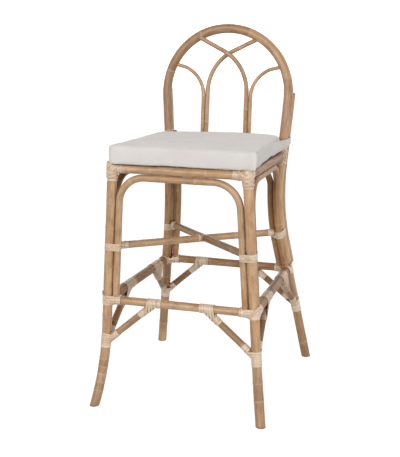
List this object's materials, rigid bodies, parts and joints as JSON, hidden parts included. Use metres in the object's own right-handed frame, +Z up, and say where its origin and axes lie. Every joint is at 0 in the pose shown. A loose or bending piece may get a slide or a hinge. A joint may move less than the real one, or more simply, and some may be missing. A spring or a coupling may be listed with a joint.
{
  "type": "bar stool",
  "caption": "Tall rattan bar stool with an arched back, crossed spindles, splayed legs, a braced footrest frame, bound joints and a tied off-white seat cushion",
  "frame": {"origin": "on the floor under the centre of the footprint", "axes": "front of the seat toward -Y, +X toward the right as seen from the front, +Z up"},
  "size_m": [0.5232, 0.6042, 1.058],
  "materials": {
    "pole": "peeled rattan pole, clear satin",
    "pole_dark": "smoked rattan pole, clear satin",
    "spindle": "thin rattan pole, clear satin",
    "binding": "split cane peel, natural",
    "cushion": "plain weave cotton, off-white"
  },
  "bodies": {
    "root": {"front_leg_left": "pole", "front_leg_right": "pole", "rear_frame": "pole", "doubler_left": "pole", "doubler_right": "pole", "seat_rail_front": "pole", "seat_rail_rear": "pole_dark", "seat_rail_left": "pole_dark", "seat_rail_right": "pole_dark", "hoop_front": "pole", "hoop_rear": "pole_dark", "hoop_left": "pole_dark", "hoop_right": "pole_dark", "stretcher_long": "pole", "stretcher_half_front": "pole_dark", "stretcher_half_rear": "pole_dark", "foot_rail_front": "pole", "foot_rail_rear": "pole_dark", "foot_rail_left": "pole_dark", "foot_rail_right": "pole_dark", "brace_front_left": "pole", "brace_front_right": "pole", "brace_rear_left": "pole", "brace_rear_right": "pole", "brace_side_left_front": "pole", "brace_side_left_rear": "pole", "brace_side_right_front": "pole", "brace_side_right_rear": "pole", "spindle_inner_left": "spindle", "spindle_inner_right": "spindle", "spindle_outer_left": "spindle", "spindle_outer_right": "spindle", "seat_slats": "pole", "cushion": "cushion", "tie_left": "cushion", "tie_right": "cushion", "seat_bindings": "binding", "stretcher_bindings": "binding", "foot_corner_bindings": "binding", "brace_rail_bindings": "binding", "brace_leg_bindings": "binding"}
  },
  "joints": []
}
